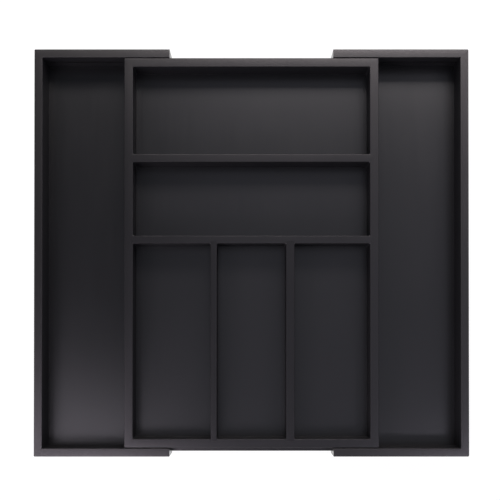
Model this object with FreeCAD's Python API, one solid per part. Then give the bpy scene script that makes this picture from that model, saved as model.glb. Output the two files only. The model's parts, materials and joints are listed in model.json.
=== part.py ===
import FreeCAD, Part

import math
import os

# Expandable cutlery tray. A centre tray with five compartments rides on the floors of two side trays, which
# slide out from under it until the whole fills a drawer. X runs across the drawer, +Y to its back and +Z up.
# The origin is on the drawer's floor under the middle of the tray. Lengths are in millimetres.

# Overall sizes
tray_depth = 450.0  # front to back, over the side trays
closed_width = 300.0  # side to side, with both side trays pushed in
floor_overlap = 50.0  # how far a side tray's floor still reaches under the centre tray when drawn right out
tray_height = 65.0  # from the drawer's floor to the top of every wall

# Boards
side_wall = 9.0  # thickness of the side trays' walls
centre_wall = 9.5  # thickness of the centre tray's walls
cross_divider = 8.6  # thickness of the two dividers that run side to side
long_divider_left_thickness = 6.8
long_divider_right_thickness = 9.2
side_base = 4.0  # thickness of the side trays' floors
centre_base = 4.0  # thickness of the centre tray's floor
arris = 0.5  # radius of the sanded long top edges
corner_round = 1.5  # radius of the sanded upright outer corners
end_ease = 0.4  # radius of the sanded edges round the free ends of the side trays' walls

# Compartments, clear sizes
rear_compartment = 96.8  # front to back
second_compartment = 81.6  # front to back
middle_slot = 76.5  # width of the middle one of the three long compartments

# Sliding fit
slide_gap = 0.8  # between the centre tray and the side trays' front and back walls
under_gap = 0.4  # between the centre tray's lower edge and the side trays' floors
closed_gap = 0.5  # left at both ends of a side tray when it is pushed in

# Rails on the centre tray and the grooves that they run in
rail_height = 5.4
rail_reach = 5.4  # how far a rail stands out of the centre tray's wall
rail_set = 3.0  # how deep a rail is set into that wall
rail_rise = 17.5  # from the centre tray's floor up to the middle of the rail
rail_end_inset = 12.0  # from the end of the wall to the end of the rail
rail_ease = 0.8  # radius of the rail's two outer edges
rail_clearance = 0.4

# Joints between boards
rabbet_depth = 4.5  # how far a side tray's floor reaches under its walls
panel_groove = 4.5  # how far the centre tray's floor reaches into its walls
panel_lip = 3.6  # wall left below that groove
housing_depth = 2.5  # how far a divider's end is let into a wall
joint_fit = 0.1  # room left at hidden ends and edges

# Pins through the joints
pin_diameter = 1.4
pin_length = 20.0
pin_cover = 1.0  # filler over the head of a pin
pin_fit = 0.05
corner_pin_height_shares = (0.2, 0.65, 0.88)  # of the wall's height

# Pins that hold a side tray's floor
base_pin_diameter = 1.2
base_pin_length = 13.0
long_side_pin_shares = (-0.8, -0.27, 0.27, 0.8)  # of half the tray's depth
short_side_pin_shares = (0.3, 0.75)  # of the front and back walls' length, from the inner end

# Stop battens under the centre tray
batten_width = 10.0
batten_top_gap = 1.0  # from the batten's top to the centre tray's floor
batten_end_gap = 2.0  # from each end of the batten to the centre tray's wall
stop_gap = 0.3  # left between the batten and the wall that it stops against

# Countersunk screws that hold the battens
screw_diameter = 2.5
screw_head_diameter = 5.0
screw_head_height = 1.3
screw_tip_cover = 0.8  # batten left over the tip of a screw
screw_slot_width = 0.8
screw_slot_depth = 0.7
screw_fit = 0.05
screw_place_shares = (-0.85, 0.0, 0.85)  # of half the batten's length

# Rubber feet
foot_diameter = 12.0
foot_height = 1.5
foot_inset = 14.0  # from the tray's edges to the middle of a foot
foot_ease = 0.5  # radius of a foot's lower edge

# Room that a cutting block takes beyond what it cuts
overrun = 5.0

# Levels
side_bottom = foot_height
side_floor = side_bottom + side_base
centre_bottom = side_floor + under_gap
panel_bottom = centre_bottom + panel_lip
centre_floor = panel_bottom + centre_base
rail_level = centre_floor + rail_rise
batten_top = panel_bottom - batten_top_gap
screw_length = batten_top - screw_tip_cover - side_bottom

# Places along Y, measured from the middle
side_back = tray_depth / 2
side_back_inside = side_back - side_wall
centre_back = side_back_inside - slide_gap
centre_back_inside = centre_back - centre_wall
rear_divider_back = centre_back_inside - rear_compartment
rear_divider_front = rear_divider_back - cross_divider
middle_divider_back = rear_divider_front - second_compartment
middle_divider_front = middle_divider_back - cross_divider

# Places along X, measured from the middle
centre_side = closed_width / 2 - side_wall - closed_gap
centre_side_inside = centre_side - centre_wall
side_inner_end = centre_side - floor_overlap
side_outer = side_inner_end + closed_width / 2 - closed_gap
side_outer_inside = side_outer - side_wall
batten_outer = centre_side_inside - stop_gap
batten_inner = batten_outer - batten_width

UP = FreeCAD.Vector(0, 0, 1)
ALONG_X = FreeCAD.Vector(1, 0, 0)
ALONG_Y = FreeCAD.Vector(0, 1, 0)
ORIGIN = FreeCAD.Vector(0, 0, 0)


def block(low, high):
    """A plain block between two opposite corners."""
    sizes = [b - a for a, b in zip(low, high)]
    return Part.makeBox(*sizes, FreeCAD.Vector(*low))


def rod(start, direction, length, diameter):
    """A round rod from a start point."""
    return Part.makeCylinder(diameter / 2, length, start, direction)


def group(solids):
    """Separate solids that share one node."""
    return Part.makeCompound(solids)


def rounded_profile(low, high, bottom):
    """The end of an upright board, on the YZ plane: square at its foot and sanded round at its two top edges."""
    top = tray_height
    inset = arris * (1 - math.cos(math.pi / 4))

    def at(y, z):
        return FreeCAD.Vector(0, y, z)

    corners = [at(low, bottom), at(high, bottom), at(high, top - arris), at(high - arris, top)]
    corners += [at(low + arris, top), at(low, top - arris)]
    edges = [
        Part.makeLine(corners[0], corners[1]),
        Part.makeLine(corners[1], corners[2]),
        Part.Arc(corners[2], at(high - inset, top - inset), corners[3]).toShape(),
        Part.makeLine(corners[3], corners[4]),
        Part.Arc(corners[4], at(low + inset, top - inset), corners[5]).toShape(),
        Part.makeLine(corners[5], corners[0]),
    ]
    return Part.Face(Part.Wire(edges))


def board_along_x(start, end, low, high, bottom):
    """An upright board that runs along X, from Y low to Y high."""
    face = rounded_profile(low, high, bottom)
    face.translate(ALONG_X * start)
    return face.extrude(ALONG_X * (end - start))


def board_along_y(start, end, low, high, bottom):
    """An upright board that runs along Y, from X low to X high."""
    board = board_along_x(start, end, -high, -low, bottom)
    board.rotate(ORIGIN, UP, 90)
    return board


def mitre_waste(corner_x, corner_y, thickness, keep):
    """The wedge to saw off for a mitre at an outer corner in the +X +Y quarter.

    keep says which board is left: the one along "x" (a back wall) or along "y" (a side wall).
    """
    near_x, far_x = corner_x - thickness - overrun, corner_x + overrun
    near_y, far_y = corner_y - thickness - overrun, corner_y + overrun
    third = (far_x, near_y) if keep == "x" else (near_x, far_y)
    corners = [(near_x, near_y), (far_x, far_y), third]
    points = [FreeCAD.Vector(x, y, -overrun) for x, y in corners]
    face = Part.Face(Part.makePolygon(points + points[:1]))
    return face.extrude(UP * (tray_height + 2 * overrun))


def corner_waste(corner_x, corner_y):
    """What sanding takes off an upright outer corner in the +X +Y quarter."""
    centre = FreeCAD.Vector(corner_x - corner_round, corner_y - corner_round, -overrun)
    low = (centre.x, centre.y, -overrun)
    square = block(low, (corner_x + overrun, corner_y + overrun, tray_height + overrun))
    return square.cut(rod(centre, UP, tray_height + 2 * overrun, 2 * corner_round))


def flip_x(shape):
    """The mirror image across the tray's middle, left for right."""
    return shape.mirror(ORIGIN, ALONG_X)


def flip_y(shape):
    """The mirror image across the tray's middle, front for back."""
    return shape.mirror(ORIGIN, ALONG_Y)


def both_x(shape):
    """A shape and its left-right mirror image."""
    return [shape, flip_x(shape)]


def both_y(shape):
    """A shape and its front-back mirror image."""
    return [shape, flip_y(shape)]


def all_corners(shape):
    """A shape at one corner, and its images at the other three."""
    return [copy for half in both_x(shape) for copy in both_y(half)]


def pin(head, direction):
    """A headless pin driven from its head point."""
    return rod(head, direction, pin_length, pin_diameter)


def pin_hole(head, direction):
    """The hole that a pin fills."""
    start = head - direction * pin_fit
    return rod(start, direction, pin_length + 2 * pin_fit, pin_diameter + 2 * pin_fit)


def corner_pin_heads(corner_x, corner_y, thickness, bottom):
    """Where the pins of one mitre start, just under the back face, in the middle of the side wall."""
    rise = tray_height - bottom
    return [
        FreeCAD.Vector(corner_x - thickness / 2, corner_y - pin_cover, bottom + share * rise)
        for share in corner_pin_height_shares
    ]


# Centre tray


def centre_panel():
    """The floor, which reaches into the groove round the walls."""
    half_x = centre_side_inside + panel_groove - joint_fit
    half_y = centre_back_inside + panel_groove - joint_fit
    return block((-half_x, -half_y, panel_bottom), (half_x, half_y, centre_floor))


def panel_groove_waste():
    """The groove for the floor, as one slab that reaches into all four walls."""
    half_x = centre_side_inside + panel_groove
    half_y = centre_back_inside + panel_groove
    return block((-half_x, -half_y, panel_bottom), (half_x, half_y, centre_floor))


def rail(back):
    """A rail on the back wall, or on the front wall, with its outer edges eased."""
    half_x = centre_side - rail_end_inset
    low = (-half_x, centre_back - rail_set, rail_level - rail_height / 2)
    high = (half_x, centre_back + rail_reach, rail_level + rail_height / 2)
    strip = block(low, high)
    outer = [e for e in strip.Edges if e.BoundBox.YMin > centre_back]
    strip = strip.makeFillet(rail_ease, [e for e in outer if e.BoundBox.XLength > rail_reach])
    return strip if back else flip_y(strip)


def rail_seat():
    """The slot in the back wall that the rail is glued into."""
    half_x = centre_side - rail_end_inset
    low = (-half_x, centre_back - rail_set, rail_level - rail_height / 2)
    high = (half_x, centre_back + overrun, rail_level + rail_height / 2)
    return block(low, high)


def centre_corner_heads():
    return corner_pin_heads(centre_side, centre_back, centre_wall, centre_bottom)


def centre_pin_holes():
    holes = [pin_hole(head, -ALONG_Y) for head in centre_corner_heads()]
    return [copy for hole in holes for copy in all_corners(hole)]


def centre_pins():
    pins = [pin(head, -ALONG_Y) for head in centre_corner_heads()]
    return group([copy for one in pins for copy in all_corners(one)])


def divider_pin_heights():
    """Midway between the floor and the rail, and midway between the rail and the top."""
    lower = (centre_floor + rail_level - rail_height / 2) / 2
    upper = (rail_level + rail_height / 2 + tray_height) / 2
    return lower, upper


def cross_divider_pin_places():
    """Heads and directions of the pins through the left and right walls into the two cross dividers."""
    places = []
    for middle in (rear_divider_back - cross_divider / 2, middle_divider_back - cross_divider / 2):
        for height in divider_pin_heights():
            for side in (-1, 1):
                head = FreeCAD.Vector(side * (centre_side - pin_cover), middle, height)
                places.append((head, ALONG_X * -side))
    return places


def long_divider_middles():
    left = -middle_slot / 2 - long_divider_left_thickness / 2
    right = middle_slot / 2 + long_divider_right_thickness / 2
    return left, right


def long_divider_pin_places():
    """Heads and directions of the pins into the ends of the two long dividers."""
    places = []
    for middle in long_divider_middles():
        for height in divider_pin_heights():
            front_head = FreeCAD.Vector(middle, -centre_back + pin_cover, height)
            back_head = FreeCAD.Vector(middle, middle_divider_back - pin_cover, height)
            places.append((front_head, ALONG_Y))
            places.append((back_head, -ALONG_Y))
    return places


def divider_pin_holes():
    return [pin_hole(*place) for place in cross_divider_pin_places() + long_divider_pin_places()]


def divider_pins():
    return group([pin(*place) for place in cross_divider_pin_places() + long_divider_pin_places()])


def cross_housing(back, front):
    """The room that a cross divider takes in the left and right walls."""
    half_x = centre_side_inside + housing_depth
    return block((-half_x, front, centre_floor), (half_x, back, tray_height + overrun))


def long_housing(left, right):
    """The room that a long divider takes in the middle divider and the front wall."""
    low = (left, -centre_back_inside - housing_depth, centre_floor)
    return block(low, (right, middle_divider_front + housing_depth, tray_height + overrun))


def long_housings():
    left_low = -middle_slot / 2 - long_divider_left_thickness
    right_high = middle_slot / 2 + long_divider_right_thickness
    return [long_housing(left_low, -middle_slot / 2), long_housing(middle_slot / 2, right_high)]


def cross_housings():
    return [
        cross_housing(rear_divider_back, rear_divider_front),
        cross_housing(middle_divider_back, middle_divider_front),
    ]


def cross_board(back, front):
    """A divider from wall to wall, rounded where it is clear and square where it is let into the walls."""
    clear = board_along_x(-centre_side_inside, centre_side_inside, front, back, centre_floor)
    reach = centre_side_inside + housing_depth - joint_fit
    tenon = block((centre_side_inside, front, centre_floor), (reach, back, tray_height))
    return clear.multiFuse(both_x(tenon)).removeSplitter()


def rear_board():
    return cross_board(rear_divider_back, rear_divider_front).cut(group(divider_pin_holes()))


def middle_board():
    board = cross_board(middle_divider_back, middle_divider_front)
    return board.cut(group(long_housings())).cut(group(divider_pin_holes()))


def long_board(left, right):
    """A divider from the middle divider to the front wall."""
    board = board_along_y(-centre_back_inside, middle_divider_front, left, right, centre_floor)
    reach = housing_depth - joint_fit
    front_low = (left, -centre_back_inside - reach, centre_floor)
    front_tenon = block(front_low, (right, -centre_back_inside, tray_height))
    back_low = (left, middle_divider_front, centre_floor)
    back_tenon = block(back_low, (right, middle_divider_front + reach, tray_height))
    whole = board.multiFuse([front_tenon, back_tenon]).removeSplitter()
    return whole.cut(group(divider_pin_holes()))


def long_boards():
    left = long_board(-middle_slot / 2 - long_divider_left_thickness, -middle_slot / 2)
    right = long_board(middle_slot / 2, middle_slot / 2 + long_divider_right_thickness)
    return left, right


def centre_back_board():
    """The back wall: mitred, grooved inside for the floor and outside for its rail."""
    board = board_along_x(-centre_side, centre_side, centre_back_inside, centre_back, centre_bottom)
    mitre = mitre_waste(centre_side, centre_back, centre_wall, "x")
    waste = both_x(mitre) + both_x(corner_waste(centre_side, centre_back))
    waste += [panel_groove_waste(), rail_seat()] + centre_pin_holes()
    return board.cut(waste)


def centre_front_board():
    """The front wall: as the back wall, with housings for the two long dividers."""
    board = flip_y(centre_back_board())
    return board.cut(long_housings() + divider_pin_holes())


def centre_side_board(side):
    """The left wall (side -1) or the right wall (side 1), with housings for the two cross dividers."""
    board = board_along_y(-centre_back, centre_back, centre_side_inside, centre_side, centre_bottom)
    mitre = mitre_waste(centre_side, centre_back, centre_wall, "y")
    waste = both_y(mitre) + both_y(corner_waste(centre_side, centre_back))
    waste += [panel_groove_waste()] + centre_pin_holes() + cross_housings() + divider_pin_holes()
    board = board.cut(waste)
    return board if side > 0 else flip_x(board)


# Side trays, made on the right and mirrored to the left


def rail_groove():
    """The groove in a side tray's back wall that the rail runs in, from end to end of the wall."""
    depth = rail_reach - slide_gap + rail_clearance
    rise = rail_height / 2 + rail_clearance
    low = (side_inner_end - overrun, side_back_inside - overrun, rail_level - rise)
    return block(low, (side_outer + overrun, side_back_inside + depth, rail_level + rise))


def base_rabbet():
    """The step under a side tray's walls that its floor is let into, as one slab."""
    low = (side_inner_end - overrun, -side_back_inside - rabbet_depth, side_bottom - overrun)
    high = (side_outer_inside + rabbet_depth, side_back_inside + rabbet_depth, side_floor)
    return block(low, high)


def side_panel():
    """A side tray's floor, which carries one side of the centre tray."""
    half_y = side_back_inside + rabbet_depth - joint_fit
    outer = side_outer_inside + rabbet_depth - joint_fit
    panel = block((side_inner_end, -half_y, side_bottom), (outer, half_y, side_floor))
    return panel.cut(base_pin_holes() + screw_holes())


def side_corner_heads():
    return corner_pin_heads(side_outer, side_back, side_wall, side_bottom)


def side_pin_holes():
    holes = [pin_hole(head, -ALONG_Y) for head in side_corner_heads()]
    return [copy for hole in holes for copy in both_y(hole)]


def side_pins():
    pins = [pin(head, -ALONG_Y) for head in side_corner_heads()]
    return group([copy for one in pins for copy in both_y(one)])


def base_pin_places():
    """Points on the underside of a side tray's floor where its pins start."""
    under_wall = side_outer_inside + rabbet_depth / 2
    places = [FreeCAD.Vector(under_wall, s * side_back_inside, side_bottom) for s in long_side_pin_shares]
    under_back = side_back_inside + rabbet_depth / 2
    reach = side_outer_inside - side_inner_end
    for share in short_side_pin_shares:
        for end in (-1, 1):
            places.append(FreeCAD.Vector(side_inner_end + share * reach, end * under_back, side_bottom))
    return places


def base_pin_holes():
    size = base_pin_diameter + 2 * pin_fit
    return [rod(place, UP, base_pin_length + pin_fit, size) for place in base_pin_places()]


def base_pins():
    return group([rod(place, UP, base_pin_length, base_pin_diameter) for place in base_pin_places()])


def side_outer_board():
    """The long outer wall, mitred at both ends and stepped for the floor."""
    board = board_along_y(-side_back, side_back, side_outer_inside, side_outer, side_bottom)
    mitre = mitre_waste(side_outer, side_back, side_wall, "y")
    waste = both_y(mitre) + both_y(corner_waste(side_outer, side_back))
    return board.cut(waste + [base_rabbet()] + side_pin_holes() + base_pin_holes())


def ease_free_end(board):
    """The board with the edges round its inner end sanded, apart from the lower one."""
    reach = side_inner_end + end_ease
    ends = [e for e in board.Edges if e.BoundBox.XMax < reach and e.BoundBox.ZMax > side_floor]
    return board.makeFillet(end_ease, ends)


def side_back_board():
    """The short back wall: mitred at its outer end, grooved for the rail and stepped for the floor."""
    board = board_along_x(side_inner_end, side_outer, side_back_inside, side_back, side_bottom)
    board = ease_free_end(board)
    waste = [mitre_waste(side_outer, side_back, side_wall, "x"), corner_waste(side_outer, side_back)]
    waste += [rail_groove(), base_rabbet()]
    return board.cut(waste + side_pin_holes() + base_pin_holes())


def side_front_board():
    return flip_y(side_back_board())


def batten_half_length():
    return centre_back_inside - batten_end_gap


def screw_places():
    """Points on the underside of a side tray's floor where the batten's screws go in."""
    middle = (batten_inner + batten_outer) / 2
    reach = batten_half_length()
    return [FreeCAD.Vector(middle, share * reach, side_bottom) for share in screw_place_shares]


def screw_shape(place, fit):
    """A countersunk screw, head down, or the hole for it where fit is more than nothing."""
    head_radius = screw_head_diameter / 2 + fit
    shank_radius = screw_diameter / 2 + fit
    head = Part.makeCone(head_radius, shank_radius, screw_head_height, place, UP)
    return head.fuse(rod(place, UP, screw_length + fit, 2 * shank_radius)).removeSplitter()


def screw_cross(place):
    """The cross recess in a screw's head."""
    reach = screw_diameter / 2
    half = screw_slot_width / 2
    low = place - FreeCAD.Vector(reach, half, overrun)
    high = place + FreeCAD.Vector(reach, half, screw_slot_depth)
    slot = block(low, high)
    turned = slot.copy()
    turned.rotate(place, UP, 90)
    return slot.fuse(turned)


def screw_holes():
    return [screw_shape(place, screw_fit) for place in screw_places()]


def screws():
    return group([screw_shape(place, 0).cut(screw_cross(place)) for place in screw_places()])


def stop_batten():
    """The strip on a side tray's floor that meets the centre tray's wall when the tray is drawn right out."""
    half_y = batten_half_length()
    strip = block((batten_inner, -half_y, side_floor), (batten_outer, half_y, batten_top))
    return strip.cut(screw_holes())


def feet():
    """Six round pads under a side tray, with their lower edges eased."""
    pads = []
    for x in (side_inner_end + foot_inset, side_outer - foot_inset):
        for y in (foot_inset - side_back, 0, side_back - foot_inset):
            pad = rod(FreeCAD.Vector(x, y, 0), UP, foot_height, foot_diameter)
            lower = [e for e in pad.Edges if e.Closed and e.CenterOfMass.z < foot_height / 2]
            pads.append(pad.makeFillet(foot_ease, lower))
    return group(pads)


def side_pieces():
    return {
        "base_panel": side_panel(),
        "outer_wall": side_outer_board(),
        "back_wall": side_back_board(),
        "front_wall": side_front_board(),
        "stop_batten": stop_batten(),
        "batten_screws": screws(),
        "corner_pins": side_pins(),
        "base_pins": base_pins(),
        "feet": feet(),
    }


def centre_pieces():
    long_left, long_right = long_boards()
    return {
        "centre_base_panel": centre_panel(),
        "centre_back_wall": centre_back_board(),
        "centre_front_wall": centre_front_board(),
        "centre_left_wall": centre_side_board(-1),
        "centre_right_wall": centre_side_board(1),
        "rear_divider": rear_board(),
        "middle_divider": middle_board(),
        "long_divider_left": long_left,
        "long_divider_right": long_right,
        "slide_rail_back": rail(back=True),
        "slide_rail_front": rail(back=False),
        "centre_corner_pins": centre_pins(),
        "divider_pins": divider_pins(),
    }


def main():
    os.makedirs("parts", exist_ok=True)
    pieces = centre_pieces()
    for name, shape in side_pieces().items():
        pieces["right_" + name] = shape
        pieces["left_" + name] = flip_x(shape)
    for name, shape in pieces.items():
        shape.exportStep(f"parts/{name}.step")
        print(f"{name}: {len(shape.Solids)} solids, {shape.Volume:.0f} mm3, valid {shape.isValid()}")


main()
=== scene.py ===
# %% [markdown]
# # A black cutlery tray that pulls wider
# The tray lies in a kitchen drawer. A centre tray with five compartments runs on rails between two
# three-sided side trays, and each side tray slides out to fill the drawer's width. The boards, rails,
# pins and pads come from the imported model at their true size, so this lesson is about light and finish:
# a satin black lacquer is nearly all reflection, and what it reflects is what gives it a shape.

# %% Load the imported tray
import json
import math
import bmesh
import bpy
from mathutils import Matrix, Vector

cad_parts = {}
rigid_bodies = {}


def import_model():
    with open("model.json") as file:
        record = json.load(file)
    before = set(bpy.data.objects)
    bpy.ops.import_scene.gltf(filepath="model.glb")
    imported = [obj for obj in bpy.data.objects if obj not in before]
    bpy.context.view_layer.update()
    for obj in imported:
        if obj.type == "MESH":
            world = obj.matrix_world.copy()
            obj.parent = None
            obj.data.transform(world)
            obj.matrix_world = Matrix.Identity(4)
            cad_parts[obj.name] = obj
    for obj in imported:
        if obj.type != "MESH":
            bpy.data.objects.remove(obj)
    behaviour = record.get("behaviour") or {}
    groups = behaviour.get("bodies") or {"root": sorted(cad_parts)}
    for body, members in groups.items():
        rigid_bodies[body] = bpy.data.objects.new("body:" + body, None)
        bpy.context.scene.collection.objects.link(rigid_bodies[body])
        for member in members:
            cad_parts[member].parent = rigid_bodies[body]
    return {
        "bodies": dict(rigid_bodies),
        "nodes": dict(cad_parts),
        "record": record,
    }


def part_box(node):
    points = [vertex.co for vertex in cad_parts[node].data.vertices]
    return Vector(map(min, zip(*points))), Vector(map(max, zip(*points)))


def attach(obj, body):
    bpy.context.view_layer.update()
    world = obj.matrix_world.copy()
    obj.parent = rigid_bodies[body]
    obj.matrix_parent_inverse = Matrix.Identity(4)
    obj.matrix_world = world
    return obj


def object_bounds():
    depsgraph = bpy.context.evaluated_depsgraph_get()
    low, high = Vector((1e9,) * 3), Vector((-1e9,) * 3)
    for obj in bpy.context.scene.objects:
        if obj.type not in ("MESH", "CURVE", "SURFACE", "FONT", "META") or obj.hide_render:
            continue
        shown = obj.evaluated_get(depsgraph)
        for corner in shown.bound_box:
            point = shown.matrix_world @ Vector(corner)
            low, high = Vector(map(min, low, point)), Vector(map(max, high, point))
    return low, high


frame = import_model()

bodies, nodes, record = frame["bodies"], frame["nodes"], frame["record"]
for thing in list(bpy.data.objects):
    if thing.name not in nodes and thing not in bodies.values():
        bpy.data.objects.remove(thing)
cad_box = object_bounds()

# %% [markdown]
# ## The camera
# The picture was taken from straight above: the tray's rim shows no narrowing towards the back. The inside
# faces of the walls do show, and they all lean away from one point in the front half, so the camera stood
# above that point. A lens shift does nearly all of this: it moves the picture on the sensor and keeps square
# things square, where a turned camera would narrow them. A tilt of less than one degree does the rest.

# %% Put the camera above the front half
PICTURE_SIDE = 500
SENSOR_WIDTH = 36
FOCAL_LENGTH_IN_PIXELS = 1676.8
LENS_SHIFT = (-0.0029, 0.13)
CAMERA_PLACE = (0.0, -0.0965, 1.915)
CAMERA_TILT = math.radians(0.855)

lens = bpy.data.cameras.new("camera")
lens.sensor_width = SENSOR_WIDTH
lens.lens = FOCAL_LENGTH_IN_PIXELS / PICTURE_SIDE * SENSOR_WIDTH
lens.shift_x, lens.shift_y = LENS_SHIFT
camera = bpy.data.objects.new("camera", lens)
camera.location = CAMERA_PLACE
camera.rotation_euler = (CAMERA_TILT, 0, 0)
bpy.context.scene.collection.objects.link(camera)
bpy.context.scene.camera = camera
bpy.context.scene.view_settings.view_transform = "Standard"
print("lens", round(lens.lens, 1), "mm,", CAMERA_PLACE[2], "m above the floor")

# %% [markdown]
# ## A class for shader sums
# A material is a graph of nodes, and a graph typed out link by link is hard to read. This class wraps one
# output socket, so that a line such as `1 - edge * 0.3` adds the Math nodes by itself. Every other node comes
# from `node`, which takes its type, its settings and the values or links of its sockets.

# %% Wrap a socket
class Wire:
    def __init__(self, tree, socket=None):
        self.tree, self.socket = tree, socket

    def node(self, kind, settings=None, sockets=None, out=0):
        made = self.tree.nodes.new(kind)
        for name, value in (settings or {}).items():
            setattr(made, name, value)
        for name, value in (sockets or {}).items():
            if isinstance(value, Wire):
                self.tree.links.new(value.socket, made.inputs[name])
            else:
                made.inputs[name].default_value = value
        return Wire(self.tree, made.outputs[out] if made.outputs else None)

    def sum(self, operation, first, second):
        return self.node("ShaderNodeMath", {"operation": operation}, {0: first, 1: second})

    def __add__(self, other):
        return self.sum("ADD", self, other)

    def __radd__(self, other):
        return self.sum("ADD", other, self)

    def __sub__(self, other):
        return self.sum("SUBTRACT", self, other)

    def __rsub__(self, other):
        return self.sum("SUBTRACT", other, self)

    def __mul__(self, other):
        return self.sum("MULTIPLY", self, other)

    def __rmul__(self, other):
        return self.sum("MULTIPLY", other, self)

    def __abs__(self):
        return self.sum("ABSOLUTE", self, 0.0)

    def greater(self, other):
        return self.sum("MAXIMUM", self, other)

    def ease(self, low, high):
        return self.node("ShaderNodeMapRange", {"interpolation_type": "SMOOTHSTEP"},
                         {"Value": self, "From Min": low, "From Max": high})


# %% Start and finish a material
def new_material(name):
    material = bpy.data.materials.new(name)
    material.use_nodes = True
    material.node_tree.nodes.clear()
    return material, Wire(material.node_tree)


def finish(wire, shader):
    wire.node("ShaderNodeOutputMaterial", {}, {"Surface": shader})


# %% [markdown]
# ## The white sweep and the studio
# The tray stands on white paper in a studio whose walls are white and whose ceiling is dim. The floor's
# material gives the camera and every mirror the white of the paper, plus a little true light, which leaves the
# tray its soft shadow. The world is the same white low down. Overhead, where the lacquer looks, it is dim and a
# little blue, because the darkest lacquer in the picture has that tint. The paper lies a hair below the feet,
# so that the two flat faces don't flicker.

# %% Mix the paper
PAPER_WHITE = 0.80  # what the paper gives back to the tray
PAPER_GLOW = 0.92  # the white that the camera sees by itself
PAPER_LIT = 0.14  # the part of it that a shadow can take away

def grey(tone):
    return (tone, tone, tone, 1)


def paper_material():
    material, wire = new_material("white_paper")
    camera_ray = wire.node("ShaderNodeLightPath", out="Is Camera Ray")
    glossy_ray = wire.node("ShaderNodeLightPath", out="Is Glossy Ray")
    through_ray = wire.node("ShaderNodeLightPath", out="Is Transmission Ray")
    seen = camera_ray.greater(glossy_ray).greater(through_ray)
    lit = wire.node("ShaderNodeBsdfDiffuse", {}, {"Color": grey(PAPER_LIT)})
    glow = wire.node("ShaderNodeEmission", {}, {"Color": grey(1), "Strength": PAPER_GLOW})
    shown = wire.node("ShaderNodeAddShader", {}, {0: lit, 1: glow})
    plain = wire.node("ShaderNodeBsdfDiffuse", {}, {"Color": grey(PAPER_WHITE)})
    finish(wire, wire.node("ShaderNodeMixShader", {}, {0: seen, 1: plain, 2: shown}))
    return material


# %% Lay the paper
SWEEP_SIDE = 12.0
UNDER_THE_FEET = 0.0001

def mesh_object(name, bm):
    mesh = bpy.data.meshes.new(name)
    bm.to_mesh(mesh)
    bm.free()
    thing = bpy.data.objects.new(name, mesh)
    bpy.context.scene.collection.objects.link(thing)
    return thing


bm = bmesh.new()
bmesh.ops.create_grid(bm, x_segments=1, y_segments=1, size=SWEEP_SIDE / 2)
bmesh.ops.translate(bm, vec=(0, 0, -UNDER_THE_FEET), verts=bm.verts)
paper = mesh_object("paper", bm)
paper.data.materials.append(paper_material())
print("paper", SWEEP_SIDE, "m square")

# %% Dim the ceiling
CEILING = (0.123, 0.130, 0.149, 1)
WHITE_UP_TO = 0.17  # sine of the angle above the horizon
DIM_FROM = 0.50

def blend(wire, share, first, second):
    return wire.node("ShaderNodeMix", {"data_type": "RGBA"}, {0: share, 6: first, 7: second}, out=2)


world = bpy.data.worlds.new("studio")
bpy.context.scene.world = world
world.use_nodes = True
world.node_tree.nodes.clear()
sky = Wire(world.node_tree)
direction = sky.node("ShaderNodeTexCoord", out="Generated")
upward = sky.node("ShaderNodeSeparateXYZ", {}, {0: direction}, out="Z")
colour = blend(sky, upward.ease(WHITE_UP_TO, DIM_FROM), grey(1), CEILING)
backdrop = sky.node("ShaderNodeBackground", {}, {"Color": colour, "Strength": 1.0})
sky.node("ShaderNodeOutputWorld", {}, {"Surface": backdrop})
print("world from white at the walls to", CEILING[:3], "overhead")

# %% [markdown]
# ## The soft boxes
# In the picture the rims are brightest at the back right, next at the front left, and a little at the front
# right, and the middle stays dark. A flat glossy face works like a mirror on the floor, so each bright place
# tells where a lamp hung: as far beyond it as the camera is on this side. Where the brightness falls off slowly,
# a strong small box and a weaker one beside it act together. An area lamp's power is worked out here from the
# brightness of its face, because that is what a reflection shows.

# %% Hang the soft boxes
RIM = cad_box[1][2]

def soft_box(name, place, height, size, radiance, colour):
    lamp = bpy.data.lights.new(name, "AREA")
    lamp.shape = "RECTANGLE"
    lamp.size, lamp.size_y = size
    lamp.energy = radiance * math.pi * size[0] * size[1]
    lamp.color = colour
    thing = bpy.data.objects.new(name, lamp)
    thing.location = (*place, RIM + height)
    thing.visible_camera = False
    bpy.context.scene.collection.objects.link(thing)
    print(name, "gives", round(lamp.energy, 1), "watts")


COOL_PINK = (0.98, 0.865, 1.0)

soft_box("back_box", (0.226, 0.791), 1.391, (0.685, 0.352), 19.0, (1.0, 0.90, 0.92))
soft_box("back_left_box", (-0.245, 0.777), 1.071, (0.519, 0.262), 11.9, (1.0, 0.92, 0.92))
soft_box("right_box", (0.743, 0.357), 1.206, (0.352, 0.244), 6.6, (1.0, 0.91, 0.96))
soft_box("front_right_box", (0.394, -0.411), 0.882, (0.181, 0.083), 20.2, (0.92, 0.83, 1.0))
soft_box("front_box", (-0.464, -0.695), 1.099, (0.316, 0.290), 5.1, COOL_PINK)
soft_box("front_left_box", (-0.254, -0.455), 1.058, (0.209, 0.193), 9.4, COOL_PINK)
soft_box("far_left_box", (-0.632, -0.643), 1.091, (0.432, 0.431), 10.8, COOL_PINK)
soft_box("left_box", (-0.601, -0.301), 1.306, (0.187, 0.131), 6.5, (0.99, 0.88, 0.97))
soft_box("left_panel", (-0.352, -0.262), 1.058, (0.260, 0.150), 1.58, COOL_PINK)
soft_box("overhead_fill", (0.433, -0.064), 1.355, (1.230, 1.174), 0.385, (0.88, 0.84, 1.0))

# %% [markdown]
# ## Coats and noise
# Every finish in this lesson is a coat: one Principled shader with noise behind its colour, its roughness and
# its bump. A picture could hold the same detail, but it would need seams and a fitting for every board. Noise
# on Object coordinates has no seams, and a Mapping node stretches it at a true scale, in spots to the metre.

# %% Mix a coat
LACQUER_IOR = 1.5

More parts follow.
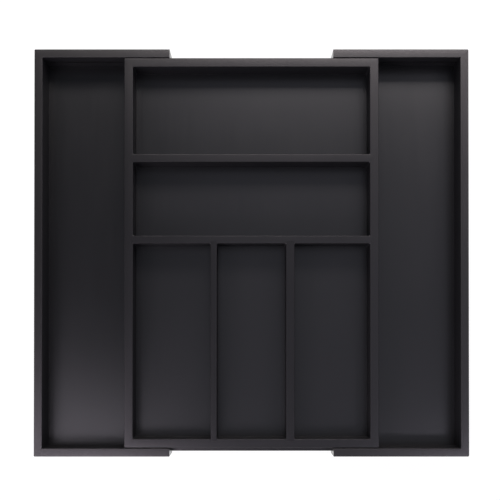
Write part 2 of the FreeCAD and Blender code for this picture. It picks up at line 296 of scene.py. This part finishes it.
def noise(wire, place, scale, detail):
    stretched = wire.node("ShaderNodeMapping", {}, {"Vector": place, "Scale": scale})
    return wire.node("ShaderNodeTexNoise", {}, {"Vector": stretched, "Scale": 1.0, "Detail": detail})


def bumped(wire, height, depth):
    return wire.node("ShaderNodeBump", {}, {"Height": height, "Distance": depth, "Strength": 1.0})


def coat(wire, colour, roughness, normal, **fixed):
    sockets = {"Base Color": colour, "Roughness": roughness, "Normal": normal}
    sockets.update({name.replace("_", " "): value for name, value in fixed.items()})
    return wire.node("ShaderNodeBsdfPrincipled", {}, sockets)


def black(tone, warmth=0.0):
    return (tone, tone * 0.99, tone * (1.12 - warmth), 1)


# %% [markdown]
# ## What shows through black lacquer
# The boards are wood, sprayed black and rubbed to a satin. Three things show through such a coat: the fibres,
# as fine streaks along the board; the ripple that spray leaves, called orange peel; and the arrises, where the
# coat runs thin and wears grey. Sanding also leaves the narrow tops slightly crowned, which a parabola across
# the board gives to the bump, because a fall of a few hundredths of a millimetre shows in a reflection alone.

# %% Draw the fibres and raise the skin
ALONG_FIBRE = 30.0  # spots to the metre
ACROSS_FIBRE = 900.0
FIBRES_IN_A_STREAK = 12
PEEL_SCALE = 350.0
RIPPLE = 0.000007  # metres, as is the crown
CROWN = 0.00004

def parts_of(wire, vector):
    return [wire.node("ShaderNodeSeparateXYZ", {}, {0: vector}, out=axis) for axis in "XYZ"]


def fibres(wire, place, along):
    stretch = [ALONG_FIBRE if axis == along else ACROSS_FIBRE for axis in range(3)]
    fine = noise(wire, place, stretch, 3.0)
    streak = noise(wire, place, [scale / FIBRES_IN_A_STREAK for scale in stretch], 2.0)
    return fine, streak


def skin_height(wire, place, spot, fibre, crown):
    peel = noise(wire, place, [PEEL_SCALE] * 3, 1.0)
    height = (fibre * 0.55 + peel * 0.45) * RIPPLE
    if crown:
        axis, middle, half = crown
        offset = (spot[axis] - middle) * (1 / half)
        height = height - offset * offset * CROWN
    return height


# %% [markdown]
# ## Worn arrises and dry faces
# A flat face has one part of its normal equal to one. On a rounded arris no part is, so the gap to one tells
# where the coat is thin. Little spray reaches the faces inside the compartments, which dry matt, while the
# tops and the outside are rubbed. Upright faces count as dry, unless they lie on one of the planes that bound
# the tray on the outside. A map painted by hand could say the same, but this rule fits every board at once.

# %% Find the wear and the dry faces
ARRIS_TURN = (0.02, 0.28)  # the gap to one where wear starts, and where it is full
FIRST_TURN = (0.001, 0.006)  # the gap where a face stops being flat
LEVEL_ENOUGH = (0.1, 0.4)  # how much a face has to look up to be rubbed
OUTSIDE_SKIN = (0.0001, 0.0003)  # metres from an outside plane
WEAR_SCALE = 9.0

def turned_away(tilt):
    return 1 - tilt[0].greater(tilt[1]).greater(tilt[2])


def worn(wire, place, turned):
    return turned.ease(*ARRIS_TURN) * (0.5 + noise(wire, place, [WEAR_SCALE] * 3, 2.0) * 0.7)


def dry(spot, tilt, turned, outside):
    share = (1 - tilt[2].ease(*LEVEL_ENOUGH)).greater(turned.ease(*FIRST_TURN) * 0.5)
    for axis, reach in outside:
        share = share * abs(abs(spot[axis]) - reach).ease(*OUTSIDE_SKIN)
    return share


# %% [markdown]
# ## Satin black lacquer
# The lacquer is two coats: the rubbed one on the rim and the matt one on the walls inside. They share the fibres
# and the bump and differ in gloss and tone. One Mix Shader joins them, so each board keeps a single material.

# %% Mix the lacquer
RIM_GLOSS = 0.247
RIM_SHEEN = 0.50
WALL_GLOSS = 0.50
WALL_SHEEN = 0.10
WALL_TONE = 0.0130
GREY_WOOD = (0.030, 0.027, 0.025, 1)
SMEAR_SCALE = 14.0

def lacquer(name, along, tone, warmth, outside, crown=None, sheen=RIM_SHEEN):
    material, wire = new_material(name)
    place = wire.node("ShaderNodeTexCoord", out="Object")
    facing = wire.node("ShaderNodeTexCoord", out="Normal")
    spot = parts_of(wire, place)
    tilt = [abs(part) for part in parts_of(wire, facing)]
    turned = turned_away(tilt)
    fibre, streak = fibres(wire, place, along)
    grain = fibre * 0.5 + streak * 0.5
    wear = worn(wire, place, turned)
    smear = noise(wire, place, [SMEAR_SCALE] * 3, 2.0)
    spread = (smear - 0.5) * 0.04 + (fibre - 0.5) * 0.03 + wear * 0.05
    normal = bumped(wire, skin_height(wire, place, spot, fibre, crown), 1.0)

    rim_colour = blend(wire, grain, black(tone * 0.85, warmth), black(tone * 1.15, warmth))
    rim_colour = blend(wire, wear * 0.4, rim_colour, GREY_WOOD)
    rim = coat(wire, rim_colour, RIM_GLOSS + spread, normal, IOR=LACQUER_IOR, Specular_IOR_Level=sheen)
    wall_colour = blend(wire, grain, black(WALL_TONE * 0.8), black(WALL_TONE * 1.2))
    wall = coat(wire, wall_colour, WALL_GLOSS + spread, normal, IOR=LACQUER_IOR, Specular_IOR_Level=WALL_SHEEN)
    share = dry(spot, tilt, turned, outside)
    finish(wire, wire.node("ShaderNodeMixShader", {}, {0: share, 1: rim, 2: wall}))
    return material


# %% [markdown]
# ## The floors
# The floors are thin panels with a fuller, glossier coat than the boards, because they lie flat while it
# dries. Their grain runs from front to back and shows only as a faint ripple.

# %% Mix the floors' coat
FLOOR_TONE = 0.0047
FLOOR_GLOSS = 0.223
FLOOR_TINT = (0.965, 1.0, 0.99, 1)
FLOOR_RIPPLE = 0.000010

def floor_coat():
    material, wire = new_material("floor_black")
    place = wire.node("ShaderNodeTexCoord", out="Object")
    ripple = noise(wire, place, (220, 12, 220), 2.0)
    peel = noise(wire, place, (300, 300, 300), 1.0)
    cloud = noise(wire, place, (9, 9, 9), 3.0)
    colour = blend(wire, cloud * 0.6 + ripple * 0.4, black(FLOOR_TONE * 0.88), black(FLOOR_TONE * 1.12))
    roughness = FLOOR_GLOSS + (cloud - 0.5) * 0.04 + (ripple - 0.5) * 0.03
    normal = bumped(wire, ripple * 0.4 + peel * 0.6, FLOOR_RIPPLE)
    finish(wire, coat(wire, colour, roughness, normal, IOR=LACQUER_IOR, Specular_Tint=FLOOR_TINT))
    return material


floor_black = floor_coat()
print("mixed the floors' coat")

# %% [markdown]
# ## Bare bamboo, steel and rubber
# Under the centre tray lie the strips that stop the side trays. Nobody sees them in use, so they stay bare:
# pressed bamboo, pale, with straight fibres and darker bands where a cane had its joints. The pins and screws
# are drawn steel and the feet soft black rubber.

# %% Mix the bamboo
DARK_STRAW = (0.40, 0.25, 0.11, 1)
PALE_STRAW = (0.62, 0.44, 0.23, 1)
CANE_JOINT = (0.26, 0.15, 0.06, 1)

def bare_bamboo():
    material, wire = new_material("bare_bamboo")
    place = wire.node("ShaderNodeTexCoord", out="Object")
    fibre = noise(wire, place, (1400, 25, 1400), 4.0)
    strip = noise(wire, place, (160, 3, 160), 1.0)
    bands = wire.node("ShaderNodeTexWave", {"bands_direction": "Y"},
                      {"Vector": place, "Scale": 1.9, "Distortion": 1.2, "Detail": 1.0}, out=1)
    straw = blend(wire, fibre.ease(0.3, 0.7) * 0.7 + strip * 0.3, DARK_STRAW, PALE_STRAW)
    colour = blend(wire, bands.ease(0.93, 1.0) * 0.5, straw, CANE_JOINT)
    finish(wire, coat(wire, colour, 0.55 + fibre * 0.2, bumped(wire, fibre, 0.00006), IOR=1.45))
    return material


bamboo = bare_bamboo()
print("mixed the bamboo")

# %% Mix the steel and the rubber
def drawn_steel():
    material, wire = new_material("drawn_steel")
    place = wire.node("ShaderNodeTexCoord", out="Object")
    scratch = noise(wire, place, (2500, 2500, 300), 3.0)
    colour = blend(wire, scratch, (0.48, 0.48, 0.49, 1), (0.62, 0.62, 0.63, 1))
    finish(wire, coat(wire, colour, 0.24 + scratch * 0.2, bumped(wire, scratch, 0.00001), Metallic=1.0))
    return material


def soft_rubber():
    material, wire = new_material("soft_rubber")
    place = wire.node("ShaderNodeTexCoord", out="Object")
    grit = noise(wire, place, (1800, 1800, 1800), 2.0)
    colour = blend(wire, grit, (0.022, 0.022, 0.022, 1), (0.042, 0.041, 0.040, 1))
    finish(wire, coat(wire, colour, 0.68 + grit * 0.2, bumped(wire, grit, 0.00005), IOR=1.5))
    return material


steel, rubber = drawn_steel(), soft_rubber()
print("mixed the steel and the rubber")

# %% [markdown]
# ## Dressing the boards
# Each board gets a lacquer of its own, with the fibres along it and the crown across it. A board's own box
# tells its length and its middle, so neither has to be listed by hand. The side trays had a thinner coat than
# the centre tray, which shows as a greyer, warmer rim, and four boards were rubbed more or less than the rest.

# %% Suit the lacquer to a board
CENTRE_TONE = 0.0030
SIDE_TONE = 0.0088
SIDE_WARMTH = 0.14
MORE_RUBBED, LESS_RUBBED = 0.56, 0.42
SHEENS = {"left_back_wall": MORE_RUBBED, "right_back_wall": MORE_RUBBED,
          "long_divider_left": LESS_RUBBED, "long_divider_right": LESS_RUBBED}

side_wall, centre_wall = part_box("left_front_wall"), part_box("centre_front_wall")
SIDE_OUTSIDE = ((0, -side_wall[0].x), (1, -side_wall[0].y), (0, -side_wall[1].x))
CENTRE_OUTSIDE = ((1, -centre_wall[0].y),)

def board_lacquer(name):
    low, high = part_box(name)
    size, middle = high - low, (low + high) / 2
    along, across = (0, 1) if size.x > size.y else (1, 0)
    crown = (across, middle[across], size[across] / 2)
    sheen = SHEENS.get(name, RIM_SHEEN)
    if name in record["behaviour"]["bodies"]["centre_tray"]:
        return lacquer(name + "_lacquer", along, CENTRE_TONE, 0.0, CENTRE_OUTSIDE, crown, sheen)
    return lacquer(name + "_lacquer", along, SIDE_TONE, SIDE_WARMTH, SIDE_OUTSIDE, crown, sheen)


# %% Give every piece its finish
def finish_of(name):
    if name.endswith("base_panel"):
        return floor_black
    if name.endswith("stop_batten"):
        return bamboo
    if name.endswith("pins") or name.endswith("screws"):
        return steel
    if name.endswith("feet"):
        return rubber
    return board_lacquer(name)


for name, piece in nodes.items():
    piece.data.materials.clear()
    piece.data.materials.append(finish_of(name))
print("dressed", len(nodes), "pieces")

# %% [markdown]
# ## Lacquer in the corners
# Sprayed lacquer gathers where boards meet, so the compartments have small round fillets in their corners and
# along the floor. The way to model one is to think of the block that would fill the compartment: round its
# upright edges and its bottom edges, open its top, turn it inside out and give it a thin wall. The block is a
# hair larger than the compartment, so its flat sides are inside the wood and only the rounded parts come out.
# At the top the skin rolls outwards in steps, as the arris of the boards does, so that no edge stands up.

# %% Pick edges by how they lie
SAME_HEIGHT = 0.00001

def upright(edge):
    first, second = edge.verts
    return abs(first.co.z - second.co.z) > 0.5 * (first.co - second.co).length


def at_height(edge, z):
    return all(abs(vert.co.z - z) < SAME_HEIGHT for vert in edge.verts)


# %% Roll the skin over the arris
ARRIS = 0.0005
ARRIS_STEPS = 5

def roll_outwards(bm, rim, size, middle):
    risen, widened = 0.0, 0.0
    for step in range(1, ARRIS_STEPS + 1):
        turn = math.radians(90) * step / ARRIS_STEPS
        rise, reach = ARRIS * math.sin(turn), ARRIS * (1 - math.cos(turn))
        made = bmesh.ops.extrude_edge_only(bm, edges=rim)["geom"]
        verts = [g for g in made if isinstance(g, bmesh.types.BMVert)]
        rim = [g for g in made if isinstance(g, bmesh.types.BMEdge) and at_height(g, verts[0].co.z)]
        bmesh.ops.translate(bm, vec=(0, 0, rise - risen), verts=verts)
        factor = [(half + reach) / (half + widened) for half in (size.x / 2, size.y / 2)]
        bmesh.ops.scale(bm, vec=(*factor, 1), space=Matrix.Translation(-middle), verts=verts)
        risen, widened = rise, reach


# %% Cast the corner fillets
HAIR = 0.00003  # how far the flat sides go into the wood
CORNER_ROUND, CORNER_STEPS = 0.0018, 8
FLOOR_ROUND, FLOOR_STEPS = 0.0004, 6
SKIN = 0.0002

skin_lacquer = lacquer("corner_lacquer", 2, CENTRE_TONE, 0.0, CENTRE_OUTSIDE)

def corner_fillets(name, low, high):
    low, high = low - Vector((HAIR, HAIR, HAIR)), high + Vector((HAIR, HAIR, 0))
    size, middle = high - low, (low + high) / 2
    bm = bmesh.new()
    bmesh.ops.create_cube(bm, size=1.0)
    bmesh.ops.scale(bm, vec=size, verts=bm.verts)
    bmesh.ops.translate(bm, vec=middle, verts=bm.verts)
    rounding = {"affect": "EDGES", "profile": 0.5, "material": -1, "offset_type": "OFFSET"}
    corners = [e for e in bm.edges if upright(e)]
    bmesh.ops.bevel(bm, geom=corners, offset=CORNER_ROUND, segments=CORNER_STEPS, **rounding)
    foot = [e for e in bm.edges if at_height(e, low.z)]
    bmesh.ops.bevel(bm, geom=foot, offset=FLOOR_ROUND, segments=FLOOR_STEPS, **rounding)
    caps = [f for f in bm.faces if abs(f.normal.z) > 0.99 and f.calc_area() > size.x * size.y / 2]
    bmesh.ops.delete(bm, geom=caps, context="FACES")
    roll_outwards(bm, [e for e in bm.edges if e.is_boundary and at_height(e, high.z)], size, middle)
    bmesh.ops.reverse_faces(bm, faces=bm.faces)
    bmesh.ops.solidify(bm, geom=bm.faces[:], thickness=SKIN)
    for face in bm.faces:
        face.smooth = True
    piece = mesh_object(name, bm)
    piece.data.materials.append(skin_lacquer)
    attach(piece, "centre_tray")
    return piece


# %% Line the five compartments
TOP_OF_WALLS = RIM - ARRIS - HAIR
SHORT_OF_THE_WOOD = 0.0005  # the recorded openings stop this far from the boards

for opening in record["physics"]["openings"]:
    if "side" in opening["name"]:
        continue
    low, high = (Vector(corner) for corner in opening["box_m"])
    room = Vector((SHORT_OF_THE_WOOD, SHORT_OF_THE_WOOD, SHORT_OF_THE_WOOD))
    low, high = low - room, high + room
    high.z = TOP_OF_WALLS
    fillets = corner_fillets(opening["name"] + "_fillets", low, high)
    print(fillets.name, len(fillets.data.polygons), "faces")

# %% [markdown]
# ## Measuring
# A helper rounds the corners of a box to six places.

# %% Round a box
def plain(box):
    return [[round(value, 6) for value in corner] for corner in box]
